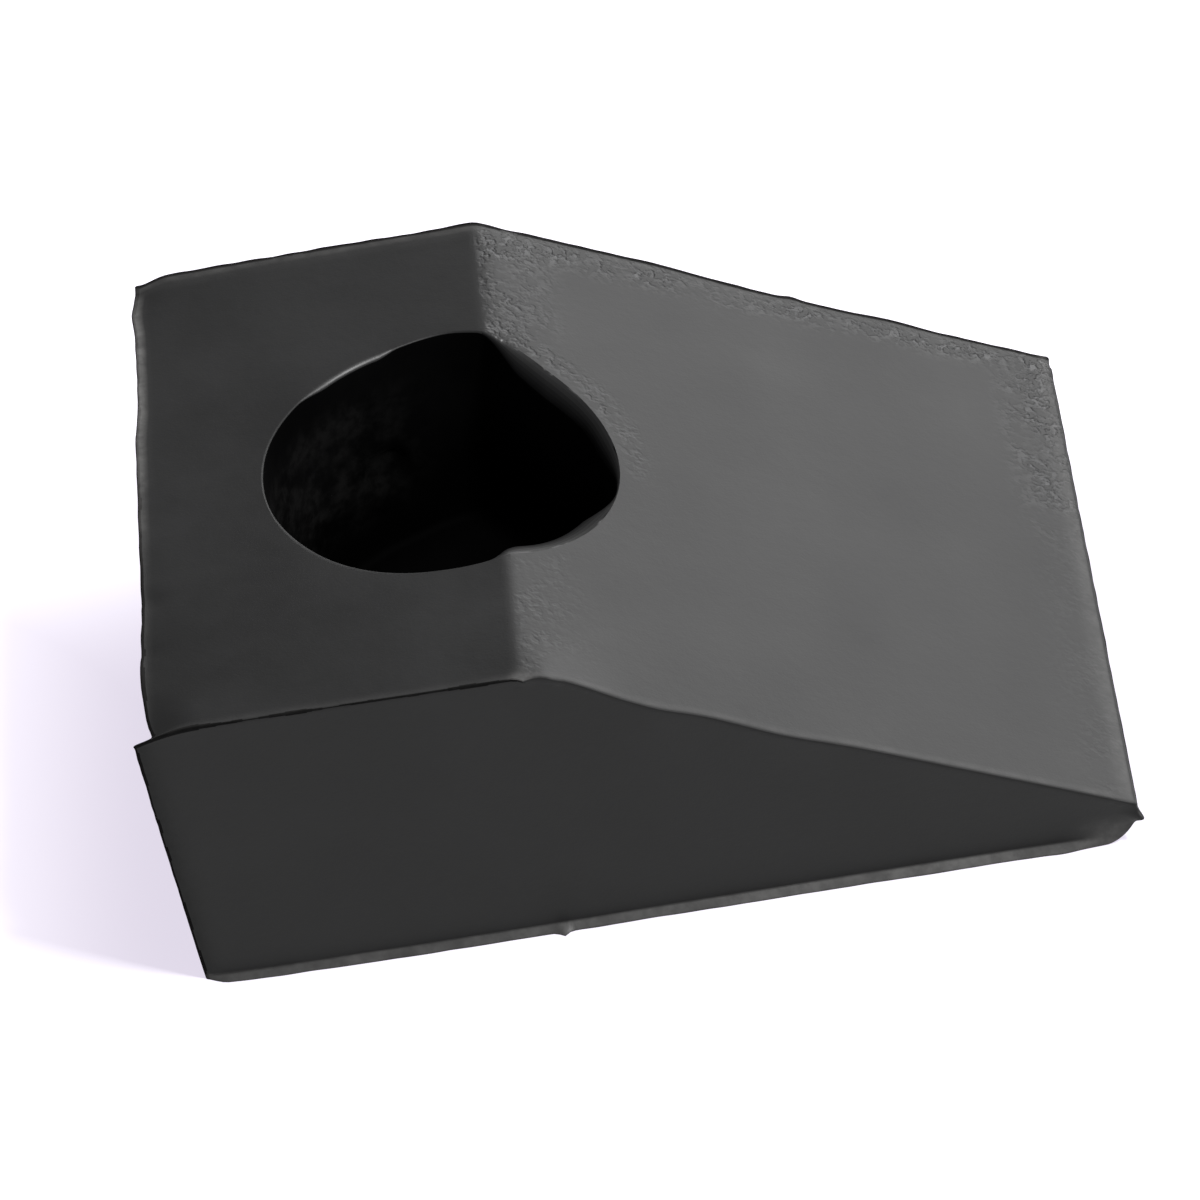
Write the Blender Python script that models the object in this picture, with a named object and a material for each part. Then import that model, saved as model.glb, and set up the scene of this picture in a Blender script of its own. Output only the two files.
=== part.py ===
"""Moulded rubber wedge door stop, screwed down through a deep round recess.

The thick end is at -X, the ramp falls towards the nose at +X, and the base lies on Z = 0. The origin is the middle of
the block's outline, on the base. The rubber block is parted along its top edges, so its sides lean in towards the base,
and it is parted low on the nose, which is cut back at 45 degrees below that line. A steel washer is bonded flush into
the recess floor, and a steel bush lines the screw hole below it.
"""

import math

import bmesh
import bpy
from mathutils import Vector

MM = 0.001

# Block, in metres. "Station" is a distance along X from the foot of the thick end.
LENGTH = 101.6 * MM
HEIGHT = 38.1 * MM
THICK_END_LEAN = 1.3 * MM  # the top edge of the thick end stands back this far
RIDGE_STATION = 40.1 * MM
RIDGE_ROUNDING = 3.0 * MM
NOSE_HEIGHT = 5.7 * MM
NOSE_LEAN = 0.1 * MM  # the top edge of the nose stands back this far
NOSE_PARTING_HEIGHT = 4.0 * MM  # below it the nose is cut back as far as it is high
BASE_HALF_WIDTH = 35.9 * MM  # at mid length
MID_STATION = 49.1 * MM
PLAN_TAPER = math.tan(math.radians(0.76))  # each side opens out towards the nose
SIDE_DRAFT = math.tan(math.radians(1.96))  # each side opens out towards the top
EDGE_ROUNDING = 0.6 * MM
EDGE_ANGLE_LIMIT = math.radians(20)  # gentler edges, such as those of the rounded ridge, stay as they are

# Recess and screw hole
RECESS_STATION = 33.4 * MM
RECESS_RADIUS = 19.05 * MM
RECESS_DEPTH = 27.0 * MM

# Steel inserts
WASHER_RADIUS = 10.3 * MM
WASHER_THICKNESS = 1.65 * MM
BUSH_RADIUS = 6.35 * MM
SCREW_HOLE_RADIUS = 5.15 * MM
BUSH_FOOT_CLEARANCE = 0.4 * MM  # the bush is this much shorter than the rubber under it
INSERT_ROUNDING = 0.2 * MM

GAP = 0.3 * MM  # bond line between neighbouring pieces
CUTTER_OVERRUN = 5.0 * MM
RECESS_SEGMENTS = 96
INSERT_SEGMENTS = 64
RIDGE_SEGMENTS = 6
ROUNDING_SEGMENTS = 2
ROUND_PROFILE = 0.5
SHARP_ANGLE = math.radians(40)

# Colour, roughness and metallic value of each material
BLACK_RUBBER = ((0.03, 0.03, 0.032), 0.6, 0.0)
BLACKENED_STEEL = ((0.06, 0.06, 0.065), 0.45, 1.0)
PLAIN_STEEL = ((0.45, 0.45, 0.46), 0.35, 1.0)

RECESS_FLOOR = HEIGHT - RECESS_DEPTH
WASHER_FOOT = RECESS_FLOOR - WASHER_THICKNESS
POCKET_FLOOR = WASHER_FOOT - GAP
RECESS_X = RECESS_STATION - LENGTH / 2
RAMP_END_STATION = LENGTH - NOSE_LEAN


def clear_scene():
    for obj in list(bpy.data.objects):
        bpy.data.objects.remove(obj, do_unlink=True)


def make_material(name, colour, roughness, metallic):
    material = bpy.data.materials.new(name)
    material.use_nodes = True
    shader = material.node_tree.nodes["Principled BSDF"]
    shader.inputs["Base Color"].default_value = (*colour, 1.0)
    shader.inputs["Roughness"].default_value = roughness
    shader.inputs["Metallic"].default_value = metallic
    return material


def add_object(name, mesh, material=None):
    obj = bpy.data.objects.new(name, mesh)
    bpy.context.scene.collection.objects.link(obj)
    if material is not None:
        mesh.materials.append(material)
    return obj


def mesh_from_bmesh(name, bm):
    bmesh.ops.recalc_face_normals(bm, faces=bm.faces)
    mesh = bpy.data.meshes.new(name)
    bm.to_mesh(mesh)
    bm.free()
    return mesh


def half_width(station, height):
    return BASE_HALF_WIDTH + PLAN_TAPER * (station - MID_STATION) + SIDE_DRAFT * height


def ridge_arc():
    """The rounded ridge between the flat top and the ramp, as (station, height) points."""
    slope = math.atan2(HEIGHT - NOSE_HEIGHT, RAMP_END_STATION - RIDGE_STATION)
    tangent_length = RIDGE_ROUNDING * math.tan(slope / 2)
    centre = (RIDGE_STATION - tangent_length, HEIGHT - RIDGE_ROUNDING)
    points = []
    for step in range(RIDGE_SEGMENTS + 1):
        turn = slope * step / RIDGE_SEGMENTS
        points.append((centre[0] + RIDGE_ROUNDING * math.sin(turn), centre[1] + RIDGE_ROUNDING * math.cos(turn)))
    return points


def side_profile():
    """The block's outline seen from the side, anticlockwise from the foot of the thick end."""
    foot = [(0.0, 0.0), (LENGTH - NOSE_PARTING_HEIGHT, 0.0)]
    nose = [(LENGTH, NOSE_PARTING_HEIGHT), (RAMP_END_STATION, NOSE_HEIGHT)]
    return foot + nose + ridge_arc()[::-1] + [(THICK_END_LEAN, HEIGHT)]


def make_block_mesh():
    """The solid block: the side profile spread to both drafted sides."""
    bm = bmesh.new()
    rings = []
    for side in (-1, 1):
        ring = []
        for station, height in side_profile():
            ring.append(bm.verts.new((station - LENGTH / 2, side * half_width(station, height), height)))
        rings.append(ring)
        bm.faces.new(ring)
    near, far = rings
    for index in range(len(near)):
        after = (index + 1) % len(near)
        bm.faces.new((near[index], near[after], far[after], far[index]))
    return mesh_from_bmesh("wedge_body", bm)


def make_cutter(name, radius, foot, top, segments):
    """A hidden upright cylinder on the recess axis."""
    bm = bmesh.new()
    bmesh.ops.create_cone(bm, cap_ends=True, segments=segments, radius1=radius, radius2=radius, depth=top - foot)
    cutter = add_object(name, mesh_from_bmesh(name, bm))
    cutter.location = (RECESS_X, 0.0, (foot + top) / 2)
    cutter.hide_render = True
    cutter.display_type = "WIRE"
    return cutter


def cut(obj, cutter):
    boolean = obj.modifiers.new(cutter.name, "BOOLEAN")
    boolean.operation = "DIFFERENCE"
    boolean.solver = "EXACT"
    boolean.object = cutter


def make_wedge_body(material):
    body = add_object("wedge_body", make_block_mesh(), material)
    rounding = body.modifiers.new("edge_rounding", "BEVEL")
    rounding.width = EDGE_ROUNDING
    rounding.segments = ROUNDING_SEGMENTS
    rounding.limit_method = "ANGLE"
    rounding.angle_limit = EDGE_ANGLE_LIMIT
    above = HEIGHT + CUTTER_OVERRUN
    cut(body, make_cutter("recess_cutter", RECESS_RADIUS, RECESS_FLOOR, above, RECESS_SEGMENTS))
    cut(body, make_cutter("pocket_cutter", WASHER_RADIUS + GAP, POCKET_FLOOR, above, INSERT_SEGMENTS))
    cut(body, make_cutter("screw_hole_cutter", BUSH_RADIUS + GAP, -CUTTER_OVERRUN, above, INSERT_SEGMENTS))
    return body


def make_turned_ring(name, inner, outer, foot, top, material):
    """A ring turned about the recess axis, its four edges rounded, with its origin at the middle of its foot."""
    height = top - foot
    bm = bmesh.new()
    corners = [(inner, 0.0), (outer, 0.0), (outer, height), (inner, height)]
    loop = [bm.verts.new((radius, 0.0, level)) for radius, level in corners]
    for index, vertex in enumerate(loop):
        bm.edges.new((vertex, loop[(index + 1) % len(loop)]))
    bmesh.ops.bevel(
        bm,
        geom=loop,
        offset=INSERT_ROUNDING,
        offset_type="OFFSET",
        segments=ROUNDING_SEGMENTS,
        profile=ROUND_PROFILE,
        affect="VERTICES",
    )
    bmesh.ops.spin(
        bm,
        geom=list(bm.edges) + list(bm.verts),
        cent=(0.0, 0.0, 0.0),
        axis=(0.0, 0.0, 1.0),
        angle=math.tau,
        steps=INSERT_SEGMENTS,
        use_merge=True,
    )
    mesh = mesh_from_bmesh(name, bm)
    mesh.shade_smooth()
    mesh.set_sharp_from_angle(angle=SHARP_ANGLE)
    ring = add_object(name, mesh, material)
    ring.location = Vector((RECESS_X, 0.0, foot))
    return ring


def make_seat_washer(material):
    return make_turned_ring("seat_washer", SCREW_HOLE_RADIUS, WASHER_RADIUS, WASHER_FOOT, RECESS_FLOOR, material)


def make_spacer_bush(material):
    return make_turned_ring(
        "spacer_bush", SCREW_HOLE_RADIUS, BUSH_RADIUS, BUSH_FOOT_CLEARANCE, POCKET_FLOOR, material
    )


def build():
    clear_scene()
    make_wedge_body(make_material("black_rubber", *BLACK_RUBBER))
    make_seat_washer(make_material("blackened_steel", *BLACKENED_STEEL))
    make_spacer_bush(make_material("plain_steel", *PLAIN_STEEL))


build()
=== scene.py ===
"""Looks of the moulded rubber wedge door stop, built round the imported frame.

The rubber block is rebuilt as one fine mesh with parting-line flash, a soft recess rim and slightly uneven
faces, and it replaces the plain CAD block. The two steel inserts stay and get turned-metal materials.
"""

import math

import bmesh
import bpy
import numpy as np
from mathutils import Matrix, Vector, noise


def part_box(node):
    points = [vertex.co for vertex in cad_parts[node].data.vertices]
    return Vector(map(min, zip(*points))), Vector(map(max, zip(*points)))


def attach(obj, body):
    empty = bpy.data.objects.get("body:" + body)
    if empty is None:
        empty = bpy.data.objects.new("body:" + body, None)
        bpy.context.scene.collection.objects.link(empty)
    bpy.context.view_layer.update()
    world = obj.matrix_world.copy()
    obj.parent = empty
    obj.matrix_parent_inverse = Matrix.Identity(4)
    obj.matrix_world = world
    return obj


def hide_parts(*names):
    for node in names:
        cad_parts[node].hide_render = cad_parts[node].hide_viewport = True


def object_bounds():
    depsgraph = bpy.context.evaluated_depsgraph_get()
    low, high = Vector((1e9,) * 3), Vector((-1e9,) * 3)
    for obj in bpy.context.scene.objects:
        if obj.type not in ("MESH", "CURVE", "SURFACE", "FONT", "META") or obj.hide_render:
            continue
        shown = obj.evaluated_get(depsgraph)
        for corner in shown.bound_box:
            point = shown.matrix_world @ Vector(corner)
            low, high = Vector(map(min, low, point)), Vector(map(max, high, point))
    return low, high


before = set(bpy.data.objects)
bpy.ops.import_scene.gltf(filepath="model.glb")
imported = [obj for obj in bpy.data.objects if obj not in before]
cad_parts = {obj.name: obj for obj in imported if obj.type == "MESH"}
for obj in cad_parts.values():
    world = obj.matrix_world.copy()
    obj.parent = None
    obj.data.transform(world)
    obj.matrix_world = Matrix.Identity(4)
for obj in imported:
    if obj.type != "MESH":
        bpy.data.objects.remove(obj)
cad_low, cad_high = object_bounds()

MM = 0.001


def mm(*sizes):
    """Turns millimetres into metres."""
    return tuple(size * MM for size in sizes)


# Camera, fitted to the outline of the block
CAMERA_AZIMUTH = math.radians(3.2)
CAMERA_ELEVATION = math.radians(42.5)
CAMERA_ROLL = math.radians(11.22)
CAMERA_DISTANCE = 0.7205
CAMERA_LENS_MM = 193.9
CAMERA_SENSOR_MM = 36.0
CAMERA_AIM = Vector((-3.52, 6.52, 7.22)) * MM
CAMERA_CLIP_START = 0.01

# Block. The overall height comes from the frame, the rest repeats the design of the part.
HEIGHT = cad_high.z
LENGTH = 101.6 * MM
THICK_END_LEAN = 1.3 * MM
RIDGE_STATION = 40.1 * MM
RIDGE_ROUNDING = 3.0 * MM
NOSE_HEIGHT = 5.7 * MM
NOSE_LEAN = 0.1 * MM
NOSE_PARTING_HEIGHT = 4.0 * MM
NOSE_FOOT_LENGTH = 4.3 * MM  # the foot of the nose stands back this far
NOSE_CURVE_PULL = 1.5 * MM  # and the handle of its curve this far
BASE_HALF_WIDTH = 35.9 * MM
MID_STATION = 49.1 * MM
PLAN_TAPER = math.tan(math.radians(0.76))
SIDE_DRAFT = math.tan(math.radians(1.96))
EDGE_ROUNDING = 0.22 * MM
BASE_EDGE_ROUNDING = 0.12 * MM

# Recess and the hollows under it
washer_low, washer_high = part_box("seat_washer")
bush_low, bush_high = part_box("spacer_bush")
BOND_GAP = 0.3 * MM
RECESS_X = (washer_low.x + washer_high.x) / 2
RECESS_RADIUS = 19.05 * MM
RECESS_FLOOR = washer_high.z
RECESS_FLOOR_ROUNDING = 1.0 * MM
POCKET_RADIUS = (washer_high.x - washer_low.x) / 2 + BOND_GAP
POCKET_FLOOR = bush_high.z
SCREW_HOLE_RADIUS = (bush_high.x - bush_low.x) / 2 + BOND_GAP
RECESS_COLUMNS = 240

# Rim of the recess: how far its rounding reaches, all round and further on some stretches
RIM_CRISP = 0.2 * MM
RIM_BACK_INWARD = 1.5 * MM
RIM_BACK_DOWN = 2.6 * MM
RIM_FRONT_INWARD = 2.3 * MM
RIM_FRONT_DOWN = 0.9 * MM
RIM_WORN = 0.45 * MM
RIM_NEAR = 0.30 * MM
RIM_SCALLOP = 1.0 * MM
RIM_CREASE = math.radians(66.0)  # the rounding stops this far round, so that it meets the top in a crease
RIM_SEGMENTS = 16
RIM_DARK_SEGMENTS = 3  # the lowest strips of the rim take the recess's painted shade
POINTS_PAST_RIM = 2  # on each side of the cutter
WALL_SEGMENTS = 21
FLOOR_ROUNDING_SEGMENTS = 4
CUTTER_OVERRUN = 5.0 * MM

# Fineness of the block's mesh
GRID_ALONG = 0.6 * MM
GRID_ACROSS = 1.0 * MM
GRID_UP = 1.1 * MM
EDGE_SKIN = np.array((0.0, 0.07, 0.14, 0.22, 0.32, 0.45, 0.65, 0.9, 1.25)) * MM  # depths by an edge
BASE_SKIN_LINES = 15
BASE_SKIN = np.arange(BASE_SKIN_LINES) * 0.1 * MM
END_BLEND = 20.0 * MM  # how far from each end the stations are drawn in to follow it
ON_FACE = 1e-7  # a point no deeper than this counts as lying on a face
ON_BASE = 1e-6

# Parts of the block's surface, by material index
OUTSIDE, RECESS, FLASH, RIM = range(4)
RIM_PAINTED_SHADES = (  # specular level and roughness, going down; the falling specular level paints shade into the rim
    (0.36, 0.52),
    (0.22, 0.58),
    (0.13, 0.64),
    (0.07, 0.70),
    (0.035, 0.75),
)
RIM_SHADE_SEGMENTS = 2
RIM_CRISP_SHADE = 0  # the shade of the rim where it is crisp, whose lower specular level paints its hairline highlight dimmer
RIM_SHADED_FROM = 0.12  # the share of a soft stretch from which the rim is shaded
RIM_TOP = RIM + len(RIM_PAINTED_SHADES)

SLOPE = math.atan2(HEIGHT - NOSE_HEIGHT, LENGTH - NOSE_LEAN - RIDGE_STATION)
RIDGE_TANGENT = RIDGE_ROUNDING * math.tan(SLOPE / 2)
RIDGE_START = RIDGE_STATION - RIDGE_TANGENT
RIDGE_END = RIDGE_START + RIDGE_ROUNDING * math.sin(SLOPE)
HALF_LENGTH = LENGTH / 2
X, Y, Z = range(3)


def smooth_step(low, high, value):
    """0 at low and 1 at high, smooth between them and level beyond. Low may be the larger one."""
    share = np.clip((value - low) / (high - low), 0.0, 1.0)
    return share * share * (3.0 - 2.0 * share)


def within(stretch, value):
    """How far a value lies in a stretch, given as where it starts, is full, is last full and ends."""
    start, full, last_full, end = stretch
    return smooth_step(start, full, value) * smooth_step(end, last_full, value)


def blend(first, last, share):
    return first + (last - first) * share


def hill(distance, reach):
    """1 at no distance, falling smoothly to nearly 0 past twice the reach."""
    return np.exp(-((distance / reach) ** 2))


def link(obj):
    bpy.context.scene.collection.objects.link(obj)
    return obj


# Stage: camera, floor, world and lights


def add_camera():
    back = Vector((
        math.sin(CAMERA_AZIMUTH) * math.cos(CAMERA_ELEVATION),
        -math.cos(CAMERA_AZIMUTH) * math.cos(CAMERA_ELEVATION),
        math.sin(CAMERA_ELEVATION),
    ))
    level_right = Vector((math.cos(CAMERA_AZIMUTH), math.sin(CAMERA_AZIMUTH), 0.0))
    level_up = back.cross(level_right)
    right = math.cos(CAMERA_ROLL) * level_right - math.sin(CAMERA_ROLL) * level_up
    up = math.sin(CAMERA_ROLL) * level_right + math.cos(CAMERA_ROLL) * level_up
    data = bpy.data.cameras.new("camera")
    data.lens = CAMERA_LENS_MM
    data.sensor_width = CAMERA_SENSOR_MM
    data.clip_start = CAMERA_CLIP_START
    camera = link(bpy.data.objects.new("camera", data))
    rotation = Matrix((right, up, back)).transposed().to_4x4()
    camera.matrix_world = Matrix.Translation(CAMERA_AIM + CAMERA_DISTANCE * back) @ rotation
    bpy.context.scene.camera = camera


def new_nodes(owner):
    owner.use_nodes = True
    owner.node_tree.nodes.clear()
    return owner.node_tree


def add_node(tree, kind, inputs=None, **settings):
    """A node with its settings, and with its inputs linked where a socket is given."""
    made = tree.nodes.new(kind)
    for name, value in settings.items():
        setattr(made, name, value)
    for name, value in (inputs or {}).items():
        if isinstance(value, bpy.types.NodeSocket):
            tree.links.new(value, made.inputs[name])
        else:
            made.inputs[name].default_value = value
    return made


FLOOR_HALF_SIZE = 3.0
FLOOR_PAINTED_GLOW_NEAR = (0.69, 0.64, 0.755)  # painted glow: lavender in the deepest shadow, beside the thick end
# painted glow that lightens the far part of the block's shadow
FLOOR_PAINTED_GLOW_FAR = (1.02, 0.97, 1.08)
# painted glow of the floor as reflections and bounced light see it
FLOOR_PAINTED_GLOW_IN_REFLECTIONS = (0.20, 0.20, 0.204)
FLOOR_GLOW_LEFTWARD = mm(-54.0, -84.0)  # the far glow comes in between these two places along X
FLOOR_GLOW_LEFT_SHARE = 0.75
FLOOR_GLOW_BACKWARD = mm(2.0, 34.0)  # and between these two along Y
FLOOR_GLOW_BACK_POWER = 2.6
FLOOR_COLOUR = (0.36, 0.36, 0.36, 1.0)


def add_floor():
    """A pale sweep with a painted glow, so that its lit part is white and its shadows stay pale lavender; the
    glow grows leftward and backward, painting light over the far part of the block's shadow, and is dimmer in
    reflections.
    """
    side = FLOOR_HALF_SIZE
    mesh = bpy.data.meshes.new("floor")
    corners = [(-side, -side, 0), (side, -side, 0), (side, side, 0), (-side, side, 0)]
    mesh.from_pydata(corners, [], [(0, 1, 2, 3)])
    floor = link(bpy.data.objects.new("floor", mesh))
    material = bpy.data.materials.new("pale_floor_painted_glow")
    tree = new_nodes(material)
    diffuse = add_node(tree, "ShaderNodeBsdfDiffuse", {"Color": FLOOR_COLOUR})
    path = add_node(tree, "ShaderNodeLightPath")
    place = add_node(tree, "ShaderNodeTexCoord").outputs["Object"]
    axes = add_node(tree, "ShaderNodeSeparateXYZ", {"Vector": place}).outputs
    # painted light: the glow grows leftward and backward over the far part of the shadow
    leftward = add_range(tree, axes["X"], FLOOR_GLOW_LEFTWARD, (0.0, FLOOR_GLOW_LEFT_SHARE), "SMOOTHSTEP")
    backward = add_range(tree, axes["Y"], FLOOR_GLOW_BACKWARD)
    backward = add_maths(tree, "POWER", backward, FLOOR_GLOW_BACK_POWER)
    outward = add_maths(tree, "MAXIMUM", leftward, backward)
    glow = add_colour_mix(tree, outward, FLOOR_PAINTED_GLOW_NEAR, FLOOR_PAINTED_GLOW_FAR)
    glow = add_colour_mix(tree, path.outputs["Is Camera Ray"], FLOOR_PAINTED_GLOW_IN_REFLECTIONS, glow)
    emission = add_node(tree, "ShaderNodeEmission", {"Color": glow, "Strength": 1.0})
    both = add_node(tree, "ShaderNodeAddShader", {0: diffuse.outputs[0], 1: emission.outputs[0]})
    add_node(tree, "ShaderNodeOutputMaterial", {"Surface": both.outputs[0]})
    mesh.materials.append(material)


WORLD_LIGHT = 0.27
WHITE = (1.0, 1.0, 1.0, 1.0)


def add_world():
    """Even grey light all round, seen as plain white where the camera looks past the floor."""
    world = bpy.data.worlds.new("studio")
    bpy.context.scene.world = world
    tree = new_nodes(world)
    path = add_node(tree, "ShaderNodeLightPath")
    light = add_node(tree, "ShaderNodeBackground", {"Color": WHITE, "Strength": WORLD_LIGHT})
    white = add_node(tree, "ShaderNodeBackground", {"Color": WHITE, "Strength": 1.0})
    parts = {0: path.outputs["Is Camera Ray"], 1: light.outputs[0], 2: white.outputs[0]}
    mix = add_node(tree, "ShaderNodeMixShader", parts)
    add_node(tree, "ShaderNodeOutputWorld", {"Surface": mix.outputs[0]})


KEY_DIRECTION = Vector((0.466, -0.302, 0.832)).normalized()
KEY_DISTANCE = 1.0
KEY_SIZE = 0.10
KEY_RADIANCE = 330.0
PANEL_DIRECTION = Vector((0.58, 0.73, 0.36)).normalized()
PANEL_DISTANCE = 1.2
PANEL_WIDTH = 1.3
PANEL_HEIGHT = 0.72
PANEL_RADIANCE = 2.95


def add_area_light(name, direction, distance, width, height, radiance):
    """A rectangular light of a given radiance that faces the middle of the block."""
    data = bpy.data.lights.new(name, "AREA")
    data.shape = "RECTANGLE"
    data.size = width
    data.size_y = height
    data.energy = radiance * math.pi * width * height
    light = link(bpy.data.objects.new(name, data))
    light.location = direction * distance
    light.rotation_euler = direction.to_track_quat("Z", "Y").to_euler()
    light.visible_camera = False


# Block: the closed surface, its rounded edges and the recess


def half_width(station, height):
    return BASE_HALF_WIDTH + PLAN_TAPER * (station - MID_STATION) + SIDE_DRAFT * height


def top_height(station):
    """Height of the flat top, the rounded ridge and the ramp at any station."""
    ramp = HEIGHT - (station - RIDGE_STATION) * math.tan(SLOPE)
    inside = np.clip(RIDGE_ROUNDING**2 - (station - RIDGE_START) ** 2, 0.0, None)
    arc = HEIGHT - RIDGE_ROUNDING + np.sqrt(inside)
    return np.where(station < RIDGE_START, HEIGHT, np.where(station < RIDGE_END, arc, ramp))


def nose_station(height):
    """Station of the nose at any height: a convex cut under the parting line, and a land over it."""
    share = np.sqrt(np.clip(height / NOSE_PARTING_HEIGHT, 0.0, 1.0))
    start = LENGTH - NOSE_FOOT_LENGTH
    pull = LENGTH - NOSE_CURVE_PULL
    cut = (1.0 - share) ** 2 * start + 2.0 * share * (1.0 - share) * pull + share**2 * LENGTH
    land = LENGTH - NOSE_LEAN * (height - NOSE_PARTING_HEIGHT) / (NOSE_HEIGHT - NOSE_PARTING_HEIGHT)
    return np.where(height < NOSE_PARTING_HEIGHT, cut, land)


def thick_end_station(height):
    return THICK_END_LEAN * height / HEIGHT


def with_skins(low, high, step):
    """Rising values from low to high, fine beside both ends and evenly stepped between."""
    start = low + EDGE_SKIN[-1]
    stop = high - EDGE_SKIN[-1]
    middle = np.linspace(start, stop, round((stop - start) / step) + 1)
    return np.concatenate([low + EDGE_SKIN[:-1], middle, high - EDGE_SKIN[-2::-1]])


def lattice_rows():
    """The rows of the upright faces: their offsets, and their shares of the free height between the skins."""
    steps = round((HEIGHT - BASE_SKIN[-1] - EDGE_SKIN[-1]) / GRID_UP)
    inner = np.arange(1, steps)
    offsets = np.concatenate([
        BASE_SKIN,
        np.full(len(inner), BASE_SKIN[-1]),
        BASE_SKIN[-1] + EDGE_SKIN[-1] - EDGE_SKIN[::-1],
    ])
    shares = np.concatenate([np.zeros(len(BASE_SKIN)), inner / steps, np.ones(len(EDGE_SKIN))])
    return offsets, shares


def lattice_shell(counts):
    """The lattice points on the skin of a box, as their indices, and the four-sided faces between them."""
    shell = np.zeros(counts, dtype=bool)
    for axis in range(3):
        for end in (0, -1):
            index = [slice(None)] * 3
            index[axis] = end
            shell[tuple(index)] = True
    numbers = np.full(counts, -1)
    numbers[shell] = np.arange(np.count_nonzero(shell))
    faces = []
    for axis in range(3):
        for end in (0, -1):
            index = [slice(None)] * 3
            index[axis] = end
            sheet = numbers[tuple(index)]
            corners = (sheet[:-1, :-1], sheet[1:, :-1], sheet[1:, 1:], sheet[:-1, 1:])
            quads = np.stack(corners, axis=-1).reshape(-1, 4)
            flip = (end == 0) != (axis == 1)
            faces.append(quads[:, ::-1] if flip else quads)
    return np.nonzero(shell), np.concatenate(faces)


def face_depths(points):
    """How deep each point lies under each outer face, and each face's outward direction there."""
    station = points[:, 0] + HALF_LENGTH
    height = points[:, 2]
    width = half_width(station, height)
    on_ramp = station > RIDGE_STATION
    tilt = np.where(on_ramp, SLOPE, 0.0)
    zero = np.zeros_like(height)
    one = np.ones_like(height)
    top_out = np.column_stack([np.sin(tilt), zero, np.cos(tilt)])
    return {
        "thick_end": (station - thick_end_station(height), np.column_stack([-one, zero, zero])),
        "nose": (nose_station(height) - station, np.column_stack([one, zero, zero])),
        "front": (points[:, 1] + width, np.column_stack([zero, -one, zero])),
        "back": (width - points[:, 1], np.column_stack([zero, one, zero])),
        "base": (height, np.column_stack([zero, zero, -one])),
        "top": ((top_height(station) - height) * np.cos(tilt), top_out),
    }


def round_edges(points):
    """Rolls the points beside each edge onto an arc between its two faces."""
    depths = face_depths(points)
    edges = [("top", face, EDGE_ROUNDING) for face in ("thick_end", "nose", "front", "back")]
    edges += [("base", face, BASE_EDGE_ROUNDING) for face in ("thick_end", "front", "back")]
    edges += [(end, side, EDGE_ROUNDING) for end in ("thick_end", "nose") for side in ("front", "back")]
    moved = points.copy()
    for first, second, radius in edges:
        for flush, near in ((first, second), (second, first)):
            flush_depth, flush_out = depths[flush]
            near_depth, near_out = depths[near]
            beside = (np.abs(flush_depth) < ON_FACE) & (near_depth < radius)
            if flush == second:
                beside &= near_depth > ON_FACE
            turn = math.pi / 4 * (1.0 - near_depth[beside] / radius)
            sink = radius * (1.0 - np.cos(turn))
            slide = radius * (1.0 - np.sin(turn)) - near_depth[beside]
            moved[beside] -= flush_out[beside] * sink[:, None] + near_out[beside] * slide[:, None]
    return moved


def make_block_surface():
    """The closed outer surface of the block, before the recess is cut."""
    stations = with_skins(0.0, LENGTH, GRID_ALONG)
    reference = BASE_HALF_WIDTH + SIDE_DRAFT * HEIGHT / 2
    across = with_skins(-reference, reference, GRID_ACROSS) / reference
    offsets, shares = lattice_rows()
    (i, j, k), faces = lattice_shell((len(stations), len(across), len(offsets)))
    station = stations[i]
    height = offsets[k] + shares[k] * (top_height(station) - BASE_SKIN[-1] - EDGE_SKIN[-1])
    from_thick_end = np.clip(1.0 - station / END_BLEND, 0.0, 1.0)
    from_nose = np.clip(1.0 - (LENGTH - station) / END_BLEND, 0.0, 1.0)
    station = station + from_thick_end * thick_end_station(height)
    station = station + from_nose * (nose_station(height) - LENGTH)
    is_top = k == len(offsets) - 1
    height = np.where(is_top, top_height(station), height)
    points = np.column_stack([station - HALF_LENGTH, across[j] * half_width(station, height), height])
    return round_edges(points), faces


# Stretches of the rim, in degrees round the recess from +X
RIM_SOFT_BACK = (-14.0, 20.0, 58.0, 74.0)
RIM_SOFT_FRONT = (-76.0, -62.0, -30.0, -12.0)
RIM_WORN_BACK = (99.0, 108.0, 128.0, 142.0)
RIM_NEAR_FLAT = (-168.0, -138.0, -95.0, -72.0)
RIM_SCALLOPED = (46.0, 74.0, 80.0, 103.0)

# Waves round the rim: size, number, phase
RIM_WAVER = (0.06, 9.0, 0.6)
RIM_OUT_OF_ROUND = ((0.12 * MM, 2.0, 0.5), (0.06 * MM, 5.0, 0.0))


def rim_stretches(turn):
    """How far an angle lies in the ramp's soft stretches, back and front, and in the flat's worn one."""
    degrees = np.degrees(turn)
    return [float(within(stretch, degrees)) for stretch in (RIM_SOFT_BACK, RIM_SOFT_FRONT, RIM_WORN_BACK)]


def wave(turn, size, number, phase):
    return size * math.sin(number * turn + phase)


def rim_reach(turn):
    """How far the rim's rounding reaches in from its edge, and how far down."""
    back, front, worn = rim_stretches(turn)
    waver = 1.0 + wave(turn, *RIM_WAVER)
    inward = RIM_CRISP + (RIM_BACK_INWARD * back + RIM_FRONT_INWARD * front) * waver + RIM_WORN * worn
    inward += RIM_NEAR * float(within(RIM_NEAR_FLAT, np.degrees(turn)))
    down = RIM_CRISP + (RIM_BACK_DOWN * back + RIM_FRONT_DOWN * front) * waver + RIM_WORN * worn
    return inward, down


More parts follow.
